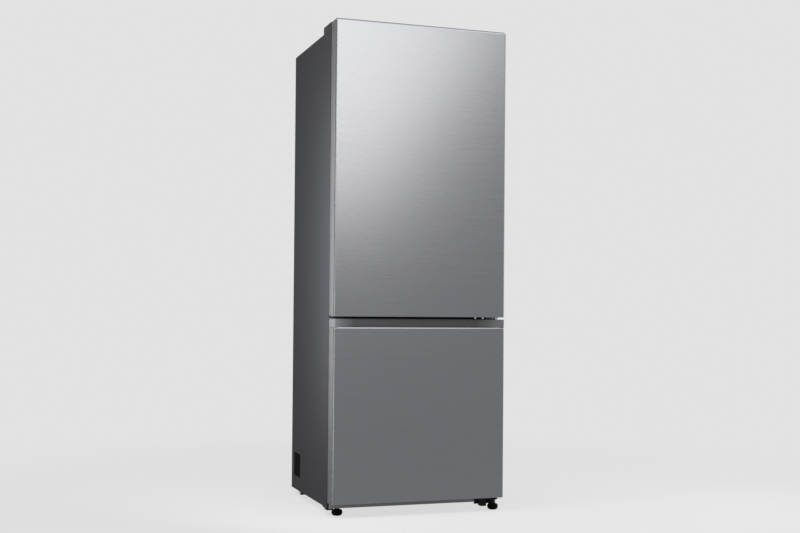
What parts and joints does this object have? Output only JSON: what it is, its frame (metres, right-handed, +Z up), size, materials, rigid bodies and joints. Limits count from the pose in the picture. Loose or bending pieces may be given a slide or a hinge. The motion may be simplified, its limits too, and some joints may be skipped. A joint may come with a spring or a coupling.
{
  "type": "fridge freezer",
  "caption": "Tall bottom-freezer fridge with brushed steel doors, a recessed grip above the freezer door and a dark painted cabinet.",
  "frame": {"origin": "on the floor, under the middle of the whole appliance's bounding box", "axes": "+Z up, -Y towards the person at the doors, +X to that person's right"},
  "size_m": [0.75, 0.7, 2.03],
  "materials": {
    "side_paint": "satin grey enamel",
    "door_steel": "fine horizontal brushing",
    "dark_plastic": "fine grain",
    "grip_grey": "satin",
    "kick_grey": "satin",
    "black_plastic": "fine grain",
    "black_paint": "satin black",
    "zinc_steel": "zinc plated",
    "liner_white": "smooth moulding",
    "seal_grey": "soft matt",
    "foam": "rigid foam",
    "shelf_glass": "clear",
    "trim_grey": "satin",
    "clear_tub": "frosted",
    "lamp_lens": "milky",
    "fin_aluminium": "mill finish",
    "coil_black": "black lacquer",
    "motor_grey": "moulded"
  },
  "bodies": {
    "cabinet": {"cabinet_shell": "side_paint", "side_grilles": "black_plastic", "back_panel": "zinc_steel", "rear_spacers": "black_plastic", "cabinet_foam": "foam", "fridge_liner": "liner_white", "freezer_liner": "liner_white", "mullion_bar": "liner_white", "top_cover": "dark_plastic", "base_frame": "zinc_steel", "kick_plate": "kick_grey", "base_bracket": "black_paint", "top_hinge": "zinc_steel", "middle_hinge": "zinc_steel", "lower_hinge": "black_paint", "hinge_screws": "zinc_steel", "compressor_plate": "zinc_steel", "roller_axles": "zinc_steel", "compressor_grommets": "seal_grey", "compressor": "black_paint", "condenser_coil": "coil_black", "condenser_fan_mount": "black_plastic", "drip_tray": "black_plastic", "rear_cover": "black_plastic", "freezer_back_panel": "liner_white", "evaporator": "fin_aluminium", "evaporator_fan_motor": "motor_grey", "air_duct": "liner_white", "ceiling_lamp": "lamp_lens", "fridge_shelf_glasses": "shelf_glass", "fridge_shelf_trims": "trim_grey", "crisper_cover": "trim_grey", "freezer_shelves": "shelf_glass"},
    "fridge_door": {"fridge_door_skin": "door_steel", "fridge_door_side_trims": "side_paint", "fridge_door_top_cap": "dark_plastic", "fridge_door_bottom_cap": "dark_plastic", "fridge_door_foam": "foam", "fridge_door_liner": "liner_white", "fridge_door_gasket": "seal_grey", "door_bins": "clear_tub", "bottle_bin": "clear_tub"},
    "freezer_door": {"freezer_door_skin": "door_steel", "freezer_door_side_trims": "side_paint", "freezer_door_bottom_cap": "dark_plastic", "freezer_door_foam": "foam", "freezer_door_liner": "liner_white", "freezer_door_gasket": "seal_grey", "freezer_door_grip": "grip_grey"},
    "crisper_left": {"crisper_left": "clear_tub"},
    "crisper_right": {"crisper_right": "clear_tub"},
    "freezer_drawer_low": {"freezer_drawer_low": "clear_tub"},
    "freezer_drawer_middle": {"freezer_drawer_middle": "clear_tub"},
    "freezer_drawer_high": {"freezer_drawer_high": "clear_tub"},
    "evaporator_fan": {"evaporator_fan": "liner_white"},
    "condenser_fan": {"condenser_fan": "black_plastic"},
    "rear_roller_left": {"rear_roller_left": "black_plastic"},
    "rear_roller_right": {"rear_roller_right": "black_plastic"},
    "levelling_foot_left": {"levelling_foot_left": "black_plastic"},
    "levelling_foot_right": {"levelling_foot_right": "black_plastic"}
  },
  "joints": [
    {"name": "fridge_door_hinge", "type": "hinge", "parent": "cabinet", "child": "fridge_door", "pos_m": [0.351, -0.318, 1.4], "axis": [0, 0, 1], "range_deg": [0, 125]},
    {"name": "freezer_door_hinge", "type": "hinge", "parent": "cabinet", "child": "freezer_door", "pos_m": [0.351, -0.318, 0.43], "axis": [0, 0, 1], "range_deg": [0, 125]},
    {"name": "crisper_left_slide", "type": "slide", "parent": "cabinet", "child": "crisper_left", "axis": [0, -1, 0], "range_m": [0, 0.28]},
    {"name": "crisper_right_slide", "type": "slide", "parent": "cabinet", "child": "crisper_right", "axis": [0, -1, 0], "range_m": [0, 0.28]},
    {"name": "freezer_drawer_low_slide", "type": "slide", "parent": "cabinet", "child": "freezer_drawer_low", "axis": [0, -1, 0], "range_m": [0, 0.2]},
    {"name": "freezer_drawer_middle_slide", "type": "slide", "parent": "cabinet", "child": "freezer_drawer_middle", "axis": [0, -1, 0], "range_m": [0, 0.28]},
    {"name": "freezer_drawer_high_slide", "type": "slide", "parent": "cabinet", "child": "freezer_drawer_high", "axis": [0, -1, 0], "range_m": [0, 0.28]},
    {"name": "evaporator_fan_spin", "type": "hinge", "parent": "cabinet", "child": "evaporator_fan", "pos_m": [0, 0.206, 0.69], "axis": [0, 1, 0], "continuous": true},
    {"name": "condenser_fan_spin", "type": "hinge", "parent": "cabinet", "child": "condenser_fan", "pos_m": [0.04, 0.219, 0.1495], "axis": [1, 0, 0], "continuous": true},
    {"name": "rear_roller_left_spin", "type": "hinge", "parent": "cabinet", "child": "rear_roller_left", "pos_m": [-0.333, 0.301, 0.017], "axis": [1, 0, 0], "continuous": true},
    {"name": "rear_roller_right_spin", "type": "hinge", "parent": "cabinet", "child": "rear_roller_right", "pos_m": [0.333, 0.301, 0.017], "axis": [1, 0, 0], "continuous": true},
    {"name": "levelling_foot_left_turn", "type": "hinge", "parent": "cabinet", "child": "levelling_foot_left", "pos_m": [-0.329, -0.262, 0.01], "axis": [0, 0, 1], "range_deg": [-360, 1440]},
    {"name": "levelling_foot_right_turn", "type": "hinge", "parent": "cabinet", "child": "levelling_foot_right", "pos_m": [0.349, -0.298, 0.01], "axis": [0, 0, 1], "range_deg": [-360, 1440]}
  ],
  "couplings": [
    {"joint": "crisper_left_slide", "follows": "fridge_door_hinge", "m_per_rad": 0.1},
    {"joint": "crisper_right_slide", "follows": "fridge_door_hinge", "m_per_rad": 0.1},
    {"joint": "freezer_drawer_low_slide", "follows": "freezer_door_hinge", "m_per_rad": 0.07},
    {"joint": "freezer_drawer_middle_slide", "follows": "freezer_door_hinge", "m_per_rad": 0.07},
    {"joint": "freezer_drawer_high_slide", "follows": "freezer_door_hinge", "m_per_rad": 0.07}
  ]
}
